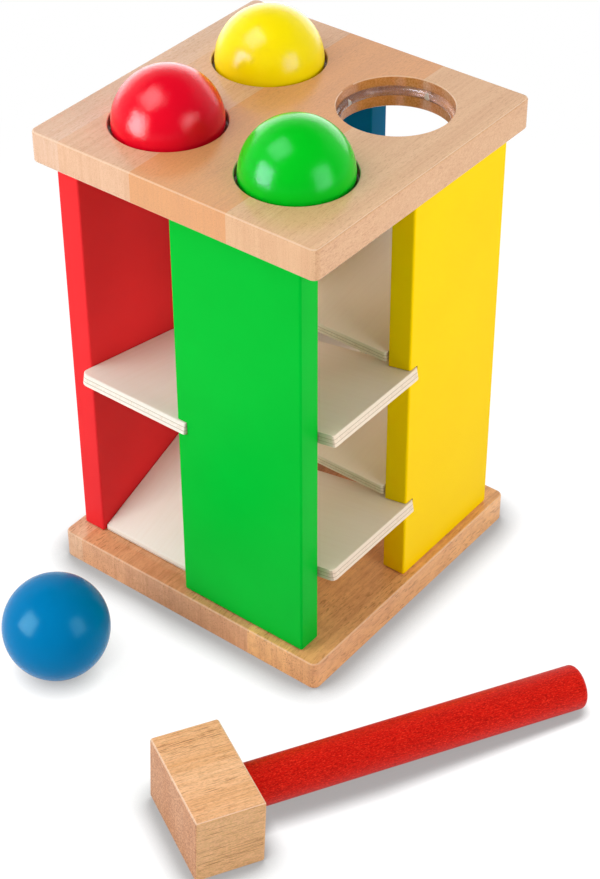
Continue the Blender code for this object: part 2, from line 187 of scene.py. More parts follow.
# %% Light from the room
look = add(room, "TexCoord").outputs["Generated"]
height = add(room, "SeparateXYZ", {"Vector": look}).outputs["Z"]
ahead = add(room, "VectorMath", {0: look, 1: SWEEP_HEADING}, operation="DOT_PRODUCT").outputs["Value"]
across = add(room, "MapRange", {"Value": ahead, "From Min": SWEEP_SIDES[0], "From Max": SWEEP_SIDES[1]},
             interpolation_type="SMOOTHSTEP").outputs[0]
below = add(room, "MapRange", {"Value": height, "From Min": SWEEP_TOP[0], "From Max": SWEEP_TOP[1],
                               "To Min": 1.0, "To Max": 0.0}, interpolation_type="SMOOTHSTEP").outputs[0]
sweep = add(room, "Math", {0: across, 1: below}, operation="MULTIPLY").outputs[0]
cards = add(room, "Math", {0: below, 1: CARD_FILL, 2: ROOM_FILL}, operation="MULTIPLY_ADD").outputs[0]
light = add(room, "Math", {0: sweep, 1: SWEEP_FILL, 2: cards}, operation="MULTIPLY_ADD").outputs[0]
print(f"room fill {ROOM_FILL}, sweep {SWEEP_FILL}")

# %% What shows of the room
shine = add(room, "MapRange", {"Value": sweep, "To Min": ROOM_SHINE}).outputs[0]
path = add(room, "LightPath").outputs
plain = add(room, "Math", {0: path["Is Camera Ray"], 1: path["Is Transmission Ray"]}, operation="MAXIMUM").outputs[0]
white = add(room, "Math", {0: plain, 1: shine}, operation="MAXIMUM").outputs[0]
seen = add(room, "Math", {0: plain, 1: path["Is Glossy Ray"]}, operation="MAXIMUM").outputs[0]
fill = add(room, "Background", {"Color": linear("#FFFFFF"), "Strength": light})
shown = add(room, "Background", {"Color": linear("#FFFFFF"), "Strength": white})
both = add(room, "MixShader", {0: seen, 1: fill.outputs[0], 2: shown.outputs[0]})
add(room, "OutputWorld", {"Surface": both.outputs[0]})
bpy.context.scene.view_settings.view_transform = "Standard"
print(f"white room, {len(room.nodes)} nodes")

# %% [markdown]
# ## Floor
# The floor is a wide white sheet. In the photograph it is pure white paper, with grey only close round
# the pieces. Ambient Occlusion, which is how much of the sky within a short reach a point can see, makes
# the close shadow, and a share of plain diffuse paper adds the soft light and shade of the lamps. The sky
# closes slowly under a ball and at once beside a wall, so the shadow under the ball on the floor has its own
# reach and softness, and the hammer's shadow narrows towards the handle's end, where the handle meets the
# floor. Further out the sheet fades to plain white, as a lit sweep does. What it sends back onto the pieces
# is plain grey-white paper. Seen from below it is clear, so that the tower's underside can be looked at.

# %% Floor sheet
FLOOR_WIDTH = 30.0
FLOOR_BOUNCE = 0.88                 # how much light the sheet sends back onto the pieces
FLOOR_PAPER = 0.16                  # the share of what the camera sees that the lamps light
FLOOR_WHITE = 0.92                  # the rest, which only the close shadow darkens
CLOSE_SHADOW = (0.0170, 0.0120)     # how far the close shadow reaches round the tower, and round the rest
CLOSE_TOWER = (0.105, 0.125)        # the first turns into the second between these distances
CLOSE_BALL = (0.0090, 0.035, 0.055)  # the reach round the ball on the floor, and where that ends
CLOSE_HANDLE = (0.0050, 0.110)      # the reach at the handle's end, and how far from there that is left behind
BALL_SOFTNESS = 0.58                # the power that softens the shadow under the ball
CLOSE_DARK = 0.34                   # how much of the white is left at its darkest
CLOSE_OPEN = (0.60, 1.00)           # it runs from dark to white between these shares of open sky
CLOSE_SAMPLES = 16                  # rays that look at the sky
FLOOR_CENTRE = (0.03, -0.06, 0.0)
SHADOW_REACH = (0.28, 0.50)         # the other shadows fade to plain white between these distances

bpy.ops.object.select_all(action="DESELECT")
bpy.ops.mesh.primitive_plane_add(size=FLOOR_WIDTH, location=(0.0, 0.0, 0.0))
floor = bpy.context.object
floor.name = "floor"
paper = bpy.data.materials.new("white_paper")
paper.use_nodes = True
tree = paper.node_tree
tree.nodes.clear()
place = add(tree, "TexCoord").outputs["Object"]
away = add(tree, "VectorMath", {0: place, 1: FLOOR_CENTRE}, operation="DISTANCE").outputs["Value"]
far = add(tree, "MapRange", {"Value": away, "From Min": SHADOW_REACH[0], "From Max": SHADOW_REACH[1]},
          interpolation_type="SMOOTHSTEP").outputs[0]
print(f"floor {FLOOR_WIDTH} m wide")

# %% Reach of the close shadow
ball_low, ball_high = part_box("blue_ball")
ball_spot = Vector(((ball_low.x + ball_high.x) / 2, (ball_low.y + ball_high.y) / 2, 0.0))
from_ball = add(tree, "VectorMath", {0: place, 1: ball_spot}, operation="DISTANCE").outputs["Value"]
past_ball = add(tree, "MapRange", {"Value": from_ball, "From Min": CLOSE_BALL[1],
                                   "From Max": CLOSE_BALL[2]}).outputs[0]
handle_end = Vector((*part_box("hammer_handle")[1].xy, 0.0))
from_end = add(tree, "VectorMath", {0: place, 1: handle_end}, operation="DISTANCE").outputs["Value"]
reach = add(tree, "MapRange", {"Value": from_end, "From Max": CLOSE_HANDLE[1], "To Min": CLOSE_HANDLE[0],
                               "To Max": CLOSE_SHADOW[1]}).outputs[0]
reach = add(tree, "MapRange", {"Value": past_ball, "To Min": CLOSE_BALL[0], "To Max": reach}).outputs[0]
axis = add(tree, "VectorMath", {0: place}, operation="LENGTH").outputs["Value"]
reach = add(tree, "MapRange", {"Value": axis, "From Min": CLOSE_TOWER[0], "From Max": CLOSE_TOWER[1],
                               "To Min": CLOSE_SHADOW[0], "To Max": reach}).outputs[0]
print("close shadows reach", CLOSE_SHADOW, "m")

# %% White paper
sky = add(tree, "AmbientOcclusion", {"Distance": reach}, samples=CLOSE_SAMPLES).outputs["AO"]
walls = add(tree, "MapRange", {"Value": sky, "From Min": CLOSE_OPEN[0], "From Max": CLOSE_OPEN[1],
                               "To Min": CLOSE_DARK}).outputs[0]
under_ball = add(tree, "Math", {0: sky, 1: BALL_SOFTNESS}, operation="POWER").outputs[0]
white = add(tree, "MapRange", {"Value": past_ball, "To Min": under_ball, "To Max": walls}).outputs[0]
white = add(tree, "Math", {0: white, 1: FLOOR_WHITE}, operation="MULTIPLY").outputs[0]
white = add(tree, "MapRange", {"Value": far, "To Min": white}).outputs[0]
white = add(tree, "Emission", {"Color": linear("#FFFFFF"), "Strength": white}).outputs[0]
near = add(tree, "MapRange", {"Value": far, "To Min": FLOOR_PAPER, "To Max": 0.0}).outputs[0]
lit = add(tree, "BsdfDiffuse", {"Color": near}).outputs[0]
shown = add(tree, "AddShader", {0: white, 1: lit}).outputs[0]
bounce = add(tree, "BsdfDiffuse", {"Color": (FLOOR_BOUNCE, FLOOR_BOUNCE, FLOOR_BOUNCE, 1.0)}).outputs[0]
path = add(tree, "LightPath")
seen = add(tree, "Math", {0: path.outputs["Is Camera Ray"], 1: path.outputs["Is Glossy Ray"]}, operation="MAXIMUM")
seen = add(tree, "Math", {0: seen.outputs[0], 1: path.outputs["Is Transmission Ray"]}, operation="MAXIMUM")
sheet = add(tree, "MixShader", {0: seen.outputs[0], 1: bounce, 2: shown}).outputs[0]
clear = add(tree, "BsdfTransparent").outputs[0]
side = add(tree, "NewGeometry").outputs["Backfacing"]
either = add(tree, "MixShader", {0: side, 1: sheet, 2: clear}).outputs[0]
add(tree, "OutputMaterial", {"Surface": either})
floor.data.materials.append(paper)
print(f"white paper, {len(tree.nodes)} nodes")

# %% [markdown]
# ## Finishes
# A picture of wood could be wrapped round each piece, but it would break at every edge. Here every pattern
# is solid: it fills the wood, so that a cut shows long grain on one face and end grain on the next, as a
# real board does. Each wooden piece carries an attribute named board, which says where a point lies in the
# board that it was cut from: along the grain, across it, and through it. A second one, named cut, says how
# each face was made, and also where painted shade darkens a face and where a painted highlight lies along an
# eased edge. Pattern sizes are real sizes in millimetres.

# %% Finish helpers
MM = 0.001


def new_finish(name, sockets):
    """A material whose Principled shader has these plain socket values."""
    made = bpy.data.materials.new(name)
    made.use_nodes = True
    shader = made.node_tree.nodes["Principled BSDF"]
    for socket, value in sockets.items():
        shader.inputs[socket].default_value = value
    return made, made.node_tree, shader


def per_size(along, across, through):
    """The scale at which a pattern with features of about one unit gets features of these sizes in mm."""
    return (1 / (along * MM), 1 / (across * MM), 1 / (through * MM))


# %% [markdown]
# ### Lacquered beech
# The two plates are edge-glued from beech strips, sanded and given a clear satin lacquer, which mirrors
# the balls softly. Beech is pale orange brown, with fine straight growth lines and many short dark
# flecks, the rays, which come in patches. The base plate's wood is blotchy too. Each strip comes from
# another tree, so each one has its own tint and its own shift of the pattern. The top plate's third strip
# from the left is drawn more orange, partly its own tint and partly a painted reflection of the yellow ball,
# and the base plate's right-hand strip is drawn brighter, partly its own tint and partly painted light on
# the base's right side. End grain shows small pores, and a hole's bored wall soaks up lacquer and looks
# darker. The top plate's two sides and the hammer's striking faces take the same darker colour as painted
# shade, and eased edges are drawn paler as a painted highlight. The hammer's head is one plain block of
# the same wood, cut so that the rays show as long dark streaks.

# %% Beech
PAINTED_EDGE_HIGHLIGHT = "#FFEAD2"               # painted highlight, drawn pale along the eased edges
FLECK_PATCH = (30, 12, 12)          # mm along, across and through: flecks come in patches of this size
PATCH_EDGE = (0.38, 0.58)           # a patch fades in between these values of its noise
PATCH_REST = 0.35                   # the share of the flecks that is left between patches
PORE_SIZE = 0.8                     # mm, on end grain and sawn faces
PORE_EDGE = (0.35, 0.65)            # a pore fades in between these values
PORE_REST = 0.4                     # the share of its colour that is left between pores
DARKENING_STRENGTH = 1.4                 # how strongly a face that counts as wholly darkened takes the darker colour, for a bored wall and for painted shade
RAY_RELIEF = 0.03                   # mm that a ray stands out or in


def beech(name, strips, dark, fleck, sawn_or_shaded=None, joints=(), lines=0.3, flecks=0.35, rays=(2.6, 0.42, 0.6),
          speckle=0.15, blotches=0.0, pores=0.0, edge_highlight=0.0, roughness=0.3, lacquer=1.5):
    """Beech from glued strips of these colours, which meet at the joints across the grain. Lines, flecks, speckle,
    blotches, pores and the painted highlight on eased edges say how strongly those show, and rays how large a
    fleck is, in mm."""
    made, tree, shader = new_finish(name, {"Roughness": roughness, "IOR": lacquer})
    board = add(tree, "Attribute", attribute_name="board").outputs["Vector"]
    cut = add(tree, "Attribute", attribute_name="cut").outputs["Vector"]
    cut = add(tree, "SeparateXYZ", {"Vector": cut}).outputs
    across = add(tree, "SeparateXYZ", {"Vector": board}).outputs["Y"]
    colour, strip = linear(strips[0]), 0.0
    for joint, tint in zip(joints, strips[1:]):
        past = add(tree, "Math", {0: across, 1: joint}, operation="GREATER_THAN").outputs[0]
        strip = add(tree, "Math", {0: past, 1: strip}, operation="ADD").outputs[0]
        colour = add(tree, "MixRGB", {0: past, 1: colour, 2: linear(tint)}).outputs[0]
    chance = add(tree, "TexWhiteNoise", {"W": strip}, noise_dimensions="1D").outputs["Color"]
    place = add(tree, "VectorMath", {0: chance, 1: board}, operation="ADD").outputs[0]
    patch = add(tree, "VectorMath", {0: place, 1: per_size(*FLECK_PATCH)}, operation="MULTIPLY").outputs[0]
    patch = add(tree, "TexNoise", {"Vector": patch, "Scale": 1.0, "Detail": 1.0}).outputs["Fac"]
    patch = add(tree, "MapRange", {"Value": patch, "From Min": PATCH_EDGE[0], "From Max": PATCH_EDGE[1],
                                   "To Min": PATCH_REST * flecks, "To Max": flecks}).outputs[0]

    layers = (  # size in mm along, across and through, detail, where it starts and ends, strength, colour
        ((7.0, 4.0, 4.0), 2.0, 0.46, 0.60, blotches, dark),
        ((180, 16, 60), 2.0, 0.35, 0.70, lines, dark),
        ((160, 1.3, 45), 2.0, 0.40, 0.70, lines, dark),
        ((12, 0.5, 4), 3.0, 0.42, 0.75, 0.6 * lines, dark),
        ((1.3, 0.45, 0.45), 1.0, 0.45, 0.72, speckle, fleck),
        (rays, 1.0, 0.58, 0.65, patch, fleck),
    )
    for size, detail, start, full, strength, tint in layers:
        if strength == 0.0:
            continue
        spot = add(tree, "VectorMath", {0: place, 1: per_size(*size)}, operation="MULTIPLY").outputs[0]
        grain = add(tree, "TexNoise", {"Vector": spot, "Scale": 1.0, "Detail": detail}).outputs["Fac"]
        share = add(tree, "MapRange", {"Value": grain, "From Min": start, "From Max": full,
                                       "To Max": strength}).outputs[0]
        colour = add(tree, "MixRGB", {0: share, 1: colour, 2: linear(tint)}).outputs[0]
    fibres = add(tree, "TexNoise", {"Vector": place, "Scale": 1 / (PORE_SIZE * MM), "Detail": 2.0}).outputs["Fac"]
    # pores on end grain, then the darker colour: on bored walls, and as painted shade on some faces
    for amount, strength, tint in ((cut["X"], pores, fleck), (cut["Y"], DARKENING_STRENGTH, sawn_or_shaded or fleck)):
        share = add(tree, "MapRange", {"Value": fibres, "From Min": PORE_EDGE[0], "From Max": PORE_EDGE[1],
                                       "To Min": PORE_REST * strength, "To Max": strength}).outputs[0]
        share = add(tree, "Math", {0: share, 1: amount}, operation="MULTIPLY").outputs[0]
        colour = add(tree, "MixRGB", {0: share, 1: colour, 2: linear(tint)}).outputs[0]
    # painted highlight: the eased edges are drawn paler
    highlighted_edge = add(tree, "Math", {0: cut["Z"], 1: edge_highlight}, operation="MULTIPLY").outputs[0]
    colour = add(tree, "MixRGB", {0: highlighted_edge, 1: colour, 2: linear(PAINTED_EDGE_HIGHLIGHT)}).outputs[0]
    relief = add(tree, "Bump", {"Strength": 0.25, "Distance": RAY_RELIEF * MM, "Height": grain}).outputs[0]
    tree.links.new(colour, shader.inputs["Base Color"])
    tree.links.new(relief, shader.inputs["Normal"])
    return made


# %% Beech for the plates and the hammer
TOP_JOINTS = (-0.0594, -0.0199, 0.0309)     # where the top plate's strips meet, across the tower
# the third strip is drawn more orange, partly its own tint and partly a painted reflection of the yellow ball
TOP_STRIPS = ("#E8C4A8", "#E7BB98", "#E5A268", "#E8BA8E")
BASE_JOINTS = (-0.0647, -0.0139, 0.0369)
# the right-hand strip is drawn brighter, partly its own tint and partly painted light on the base's right side
BASE_STRIPS = ("#EFC199", "#EEB080", "#E8A876", "#FFC07C")

# the last colour darkens the holes' walls, and the two ripped sides as painted shade
top_beech = beech("lacquered_beech_top", TOP_STRIPS, "#C98F62", "#B37C50", "#A85C08", TOP_JOINTS, lines=0.26,
                  flecks=0.36, speckle=0.22, pores=0.10, edge_highlight=0.34, roughness=0.20, lacquer=1.60)
base_beech = beech("lacquered_beech_base", BASE_STRIPS, "#B8764A", "#9A6238", "#96581E", BASE_JOINTS, lines=0.30,
                   flecks=0.50, rays=(4.0, 0.8, 0.8), blotches=0.22, pores=0.15, edge_highlight=0.26, roughness=0.24,
                   lacquer=1.55)
# the last colour darkens the head's two striking faces, as painted shade
hammer_beech = beech("plain_beech_hammer", ("#FCC89C",), "#DE985C", "#904E1E", "#A88A18", lines=0.42, flecks=0.9,
                     rays=(10.0, 0.27, 0.30), speckle=0.30, pores=0.8, edge_highlight=0.38, roughness=0.5)
print("beech for the top plate, the base plate and the hammer")

# %% [markdown]
# ### Birch plywood
# The ramps are thin three-ply birch. The faces are pale cream with a faint grain. The edges are bare,
# so the plies show there: the middle one shows its end grain, between two thin dark glue lines. The side
# edges are drawn darker as painted shade, and the ends a little darker. Three thin boards could be stacked
# for each ramp, but plies show only as lines on an edge, so one board is enough: its board attribute runs
# through the sheet from its upper face, which tells the plies apart. The two ramps that show at the left
# are pale cream; the others are drawn warmer, which paints in the yellow light that the yellow panel
# throws into the tower.

# %% Plywood
PLY_SHEET = 0.006
PLIES = 3
HALF_PLY = 0.5                      # from the middle of the sheet to its glue lines, in plies
GLUE_LINE = 0.09                    # half a glue line's height, in plies
GRAIN_SIZE = (40, 1.6, 8)           # mm along, across and through
STREAK_EDGE = (0.40, 0.75)          # a streak of grain fades in between these values of its noise
STREAK_STRENGTH = 0.2
PLY_PORES = (0.9, 0.9, 1.4)         # mm, on the end grain of the middle ply
PLY_PORE_EDGE = (0.45, 0.75)
PLY_RELIEF = 0.03                   # mm that the grain stands out or in


def plywood(name, face, grain, inner_ply, glue, dark_edge_colour):
    """Three-ply birch with its glue lines showing on the edges."""
    made, tree, shader = new_finish(name, {"Roughness": 0.5, "IOR": 1.5})
    board = add(tree, "Attribute", attribute_name="board").outputs["Vector"]
    cut = add(tree, "Attribute", attribute_name="cut").outputs["Vector"]
    sawn_or_shaded = add(tree, "SeparateXYZ", {"Vector": cut}).outputs["Y"]
    through = add(tree, "SeparateXYZ", {"Vector": board}).outputs["Z"]
    level = add(tree, "Math", {0: through, 1: PLIES / PLY_SHEET}, operation="MULTIPLY").outputs[0]
    inside = add(tree, "Math", {0: level, 1: -PLIES / 2}, operation="SUBTRACT").outputs[0]
    inside = add(tree, "Math", {0: inside}, operation="ABSOLUTE").outputs[0]
    core = add(tree, "Math", {0: inside, 1: HALF_PLY}, operation="LESS_THAN").outputs[0]
    line = add(tree, "Math", {0: inside, 1: HALF_PLY, 2: GLUE_LINE}, operation="COMPARE").outputs[0]

    long_grain = add(tree, "VectorMath", {0: board, 1: per_size(*GRAIN_SIZE)}, operation="MULTIPLY").outputs[0]
    long_grain = add(tree, "TexNoise", {"Vector": long_grain, "Scale": 1.0, "Detail": 3.0}).outputs["Fac"]
    end_grain = add(tree, "VectorMath", {0: board, 1: per_size(*PLY_PORES)}, operation="MULTIPLY").outputs[0]
    end_grain = add(tree, "TexNoise", {"Vector": end_grain, "Scale": 1.0, "Detail": 2.0}).outputs["Fac"]
    streak = add(tree, "MapRange", {"Value": long_grain, "From Min": STREAK_EDGE[0], "From Max": STREAK_EDGE[1],
                                    "To Max": STREAK_STRENGTH}).outputs[0]
    pores = add(tree, "MapRange", {"Value": end_grain, "From Min": PLY_PORE_EDGE[0],
                                   "From Max": PLY_PORE_EDGE[1]}).outputs[0]

    outer = add(tree, "MixRGB", {0: streak, 1: linear(face), 2: linear(grain)}).outputs[0]
    inner = add(tree, "MixRGB", {0: pores, 1: linear(face), 2: linear(inner_ply)}).outputs[0]
    colour = add(tree, "MixRGB", {0: core, 1: outer, 2: inner}).outputs[0]
    colour = add(tree, "MixRGB", {0: line, 1: colour, 2: linear(glue)}).outputs[0]
    # painted shade on the side edges, and a little darkening on the ends
    colour = add(tree, "MixRGB", {0: sawn_or_shaded, 1: colour, 2: linear(dark_edge_colour)}).outputs[0]
    relief = add(tree, "Bump", {"Strength": 0.2, "Distance": PLY_RELIEF * MM, "Height": long_grain}).outputs[0]
    tree.links.new(colour, shader.inputs["Base Color"])
    tree.links.new(relief, shader.inputs["Normal"])
    return made


# %% Pale plywood, and plywood with a painted yellow bounce
# the last colour is the dark edge colour: painted shade on the side edges, a little darker on the ends
pale_ply = plywood("pale_birch_plywood", "#F8F2E7", "#ECDFCC", "#E8DAC7", "#CBBDA6", "#6E5A34")
# the warmer sheet paints in the yellow light that the yellow panel throws into the tower
ply_with_painted_yellow_bounce = plywood("birch_plywood_with_painted_yellow_bounce", "#FAE9D3", "#EED7BC", "#EAD2B7", "#CBB798", "#6E5A34")
print("birch plywood from two sheets")

# %% [markdown]
# ### Paint and lacquer
# The panels have a satin paint, sprayed on sanded board: it hides the wood, but its surface keeps a fine
# orange peel, which softens what it mirrors. The balls are dipped in a glossier lacquer with a coarser
# peel, so that the soft boxes show on them with grainy edges. The pigments are purer than a screen can
# show, and a pale mirror image of the floor and the room would turn them grey. So the optical density,
# IOR, is kept low, which leaves that image faint while the gleams stay bright, and Specular Tint colours
# the gloss: each ball's tint is what its highlights add to its colour. Yellow's gloss adds only blue, for
# example, because its red and green are already full. The balls' peel is drawn deeper than a real one, so
# that it shows at the size of the picture.

# %% A coat of paint
COVER_CLOUD = 30                    # mm: the cover thins and thickens over this distance
COVER_EDGE = (0.35, 0.75)           # the thin cover's colour fades in between these values of its noise
COVER_STRENGTH = 0.35


def coating(name, colour, thin, gloss_tint, roughness, density, peel, depth):
    """Opaque paint with a tinted gloss of an optical density, an orange peel of a size and a depth in mm, and
    uneven cover."""
    made, tree, shader = new_finish(name, {"Roughness": roughness, "IOR": density,
                                           "Specular Tint": linear(gloss_tint)})
    place = add(tree, "TexCoord").outputs["Object"]
    cloud = add(tree, "TexNoise", {"Vector": place, "Scale": 1 / (COVER_CLOUD * MM), "Detail": 2.0}).outputs["Fac"]
    skin = add(tree, "TexNoise", {"Vector": place, "Scale": 1 / (peel * MM), "Detail": 2.0}).outputs["Fac"]
    cover = add(tree, "MapRange", {"Value": cloud, "From Min": COVER_EDGE[0], "From Max": COVER_EDGE[1],
                                   "To Max": COVER_STRENGTH}).outputs[0]
    shade = add(tree, "MixRGB", {0: cover, 1: linear(colour), 2: linear(thin)}).outputs[0]
    relief = add(tree, "Bump", {"Strength": 1.0, "Distance": depth * MM, "Height": skin}).outputs[0]
    tree.links.new(shade, shader.inputs["Base Color"])
    tree.links.new(relief, shader.inputs["Normal"])
    return made


# %% Paints and lacquers
SATIN = (0.34, 1.13, 1.4, 0.006)    # roughness, IOR, and the size and depth of the peel in mm
GLOSS = (0.21, 1.30, 1.1, 0.060)
GRAINY_GLOSS = (0.13, 1.30, 0.8, 0.120)
THIN_GLOSS = (0.21, 1.15, 1.1, 0.050)
PAINTS = {
    "green": coating("green_satin_paint", "#00BE30", "#00B22A", "#00FFFF", *SATIN),
    "yellow": coating("yellow_satin_paint", "#FFD600", "#FACC00", "#FFFF00", *SATIN),
    "blue": coating("blue_satin_paint", "#0070A8", "#00669C", "#00FFFF", *SATIN),
    "red": coating("red_satin_paint", "#F03034", "#E42A2E", "#FFA0A0", *SATIN),
}
LACQUERS = {
    "green": coating("green_gloss_lacquer", "#00C61C", "#00BA1A", "#A876D8", *GLOSS),
    "yellow": coating("yellow_gloss_lacquer", "#FFE800", "#FFE000", "#0060F0", *GLOSS),
    "blue": coating("blue_gloss_lacquer", "#0076B0", "#006EA6", "#B8FFF0", *THIN_GLOSS),
    "red": coating("red_gloss_lacquer", "#EA0424", "#DE0422", "#FFF0F4", *GRAINY_GLOSS),
}
print(f"{len(PAINTS)} paints and {len(LACQUERS)} lacquers")

# %% [markdown]
# ### Red stain
# The hammer's handle is a beech dowel in a red stain, rough to the touch. Stain soaks in more where the
# wood is open, so the pores stay darker and the raised fibres brighter: the whole handle has a fine
# speckle, stretched a little along the grain. Two layers of fine noise make it, because one could only
# brighten the stain or only deepen it.

# %% Red stain
STAIN_RELIEF = 0.05                 # mm that the raised fibres stand out


def stained_dowel(name, bright, mid, deep, gloss_tint):
    """A stained dowel, whose grain runs along the board attribute's first axis."""
    made, tree, shader = new_finish(name, {"Roughness": 0.5, "IOR": 1.4, "Specular Tint": linear(gloss_tint)})
    board = add(tree, "Attribute", attribute_name="board").outputs["Vector"]
    colour = linear(mid)
    layers = (  # size in mm along, across and through, where it starts and ends, strength, colour
        ((16, 1.2, 1.2), 0.45, 0.75, 0.6, deep),
        ((1.0, 0.38, 0.38), 0.51, 0.66, 0.85, bright),
        ((1.3, 0.42, 0.42), 0.51, 0.66, 0.85, deep),
    )
    for size, start, full, strength, tint in layers:
        spot = add(tree, "VectorMath", {0: board, 1: per_size(*size)}, operation="MULTIPLY").outputs[0]
        grain = add(tree, "TexNoise", {"Vector": spot, "Scale": 1.0, "Detail": 2.0}).outputs["Fac"]
        share = add(tree, "MapRange", {"Value": grain, "From Min": start, "From Max": full,
                                       "To Max": strength}).outputs[0]
        colour = add(tree, "MixRGB", {0: share, 1: colour, 2: linear(tint)}).outputs[0]
    relief = add(tree, "Bump", {"Strength": 0.6, "Distance": STAIN_RELIEF * MM, "Height": grain}).outputs[0]
    tree.links.new(colour, shader.inputs["Base Color"])
    tree.links.new(relief, shader.inputs["Normal"])
    return made


handle_stain = stained_dowel("red_stained_beech", "#EE3622", "#D0180E", "#A20C08", "#FF7868")
print("red stain")

# %% [markdown]
# ### Clear plastic, zinc and dowel wood
# The rings are clear soft plastic: what shows is the wood behind them and bright lines where they mirror
# the room. Where they are nicked, the cut is frosted and looks white. It has a finish of its own, because a
# clear cut in a clear bead could hardly be seen. The screws are zinc plated, and the dowels are bare birch.

# %% Clear plastic
RIPPLE_SIZE = 6                     # mm, of the moulded plastic's uneven surface
RIPPLE_DEPTH = 0.08                 # mm
clear_plastic, tree, shader = new_finish("clear_soft_plastic", {
    "Base Color": linear("#E6E0E2"), "Roughness": 0.20, "IOR": 1.49, "Transmission Weight": 1.0})
place = add(tree, "TexCoord").outputs["Object"]
ripple = add(tree, "TexNoise", {"Vector": place, "Scale": 1 / (RIPPLE_SIZE * MM), "Detail": 1.0}).outputs["Fac"]
relief = add(tree, "Bump", {"Strength": 0.4, "Distance": RIPPLE_DEPTH * MM, "Height": ripple}).outputs[0]
tree.links.new(relief, shader.inputs["Normal"])
print("clear plastic")


# %% Frosted cuts, zinc and dowel wood
def mottled(name, sockets, size, smooth, rough):
    """A finish whose roughness changes between two values in spots of a size in mm."""
    made, tree, shader = new_finish(name, sockets)
    place = add(tree, "TexCoord").outputs["Object"]
    spots = add(tree, "TexNoise", {"Vector": place, "Scale": 1 / (size * MM), "Detail": 2.0}).outputs["Fac"]
    dull = add(tree, "MapRange", {"Value": spots, "To Min": smooth, "To Max": rough}).outputs[0]
    tree.links.new(dull, shader.inputs["Roughness"])
    return made


frosted_cut = mottled("frosted_cut_plastic", {"Base Color": linear("#F6F4F2"), "IOR": 1.49,
                                              "Transmission Weight": 0.35}, size=0.5, smooth=0.35, rough=0.75)
zinc = mottled("zinc_plated_steel", {"Base Color": linear("#CFCDC6"), "Metallic": 1.0},
               size=0.8, smooth=0.25, rough=0.45)
dowel_birch = beech("bare_birch_dowel", ("#E6D3B0",), "#D6BE94", "#C2A678", roughness=0.7)
print("frosted cuts, zinc and dowel wood")

# %% [markdown]
# ## How a piece is made
# Pieces are made as by hand: a primitive is added at its size, its edges are picked by where they lie
# and bevelled, and holes are cut with Boolean modifiers that are applied at once. A Weighted Normal
# modifier then keeps the large faces flat while their rounded edges shade smoothly. What repeats is
# modelled once and copied.


# %% Open a piece and pick its parts
def edit(piece):
    """Make a piece the only selected object and open it in edit mode."""
    bpy.ops.object.select_all(action="DESELECT")
    piece.select_set(True)
    bpy.context.view_layer.objects.active = piece
    bpy.ops.object.mode_set(mode="EDIT")


def pick(kind, test):
    """In edit mode, select the vertices, edges or faces that pass a test."""
    bpy.ops.mesh.select_mode(type=kind)
    bpy.ops.mesh.select_all(action="DESELECT")
    shape = bmesh.from_edit_mesh(bpy.context.object.data)
    for item in {"VERT": shape.verts, "EDGE": shape.edges, "FACE": shape.faces}[kind]:
        if test(item):
            item.select_set(True)
    shape.select_flush_mode()
    bmesh.update_edit_mesh(bpy.context.object.data)


# %% Blocks with rounded edges
def block(name, low, high):
    """Add a cube and stretch it between two corners, with its place in its mesh."""
    low, high = Vector(low), Vector(high)
    bpy.ops.object.select_all(action="DESELECT")
    bpy.ops.mesh.primitive_cube_add(size=1.0, location=(low + high) / 2, scale=high - low)
    bpy.ops.object.transform_apply(location=True, rotation=True, scale=True)
    bpy.context.object.name = name
    return bpy.context.object


def round_edges(piece, radius, steps, test=lambda edge: True):
    """Bevel the edges of a piece that pass a test."""
    edit(piece)
    pick("EDGE", test)
    bpy.ops.mesh.bevel(offset=radius, segments=steps, profile=0.5, affect="EDGES")
    bpy.ops.object.mode_set(mode="OBJECT")


def is_upright(edge):
    """True for an edge that runs up and down."""
    run = edge.verts[1].co - edge.verts[0].co
    return abs(run.z) > run.xy.length


# %% Place and cut
def put(piece, place):
    """Carry a piece to a place and keep that place in its mesh."""
    bpy.ops.object.select_all(action="DESELECT")
    piece.select_set(True)
    bpy.context.view_layer.objects.active = piece
    piece.matrix_world = place
    bpy.ops.object.transform_apply(location=True, rotation=True, scale=True)
    return piece


def apply(piece, modifier):
    """Apply a modifier as soon as it is set."""
    bpy.ops.object.select_all(action="DESELECT")
    piece.select_set(True)
    bpy.context.view_layer.objects.active = piece
    bpy.ops.object.modifier_apply(modifier=modifier.name)


def carve(piece, cutters):
    """Cut separate shapes out of a piece. What they cut keeps the cutters' material."""
    bpy.ops.object.select_all(action="DESELECT")
    for cutter in cutters:
        cutter.select_set(True)
    bpy.context.view_layer.objects.active = cutters[0]
    if len(cutters) > 1:
        bpy.ops.object.join()
    joined = bpy.context.view_layer.objects.active
    cut = piece.modifiers.new("carve", "BOOLEAN")
    cut.operation = "DIFFERENCE"
    cut.solver = "EXACT"
    cut.material_mode = "TRANSFER"
    cut.object = joined
    apply(piece, cut)
    bpy.data.objects.remove(joined)


# %% Finish a piece
SMOOTH_ANGLE = radians(32)


def dress(piece, node, finish=None):
    """Smooth a piece, give it its finish, and let it stand for its CAD node."""
    bpy.ops.object.select_all(action="DESELECT")
    piece.select_set(True)
    bpy.context.view_layer.objects.active = piece
    bpy.ops.object.shade_smooth_by_angle(angle=SMOOTH_ANGLE)
    even = piece.modifiers.new("even", "WEIGHTED_NORMAL")
    even.keep_sharp = True
    apply(piece, even)
    if finish is not None:
        piece.data.materials.clear()
        piece.data.materials.append(finish)
    piece.name = "finished_" + node
    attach(piece, node_body[node])
    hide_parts(node)
    return piece


# %% Lay the grain
FACING = 0.7                        # a face whose normal lies this much along an axis faces that way
EASED = (0.4, 0.9)                  # one whose normal rises by a share between these lies on an eased edge


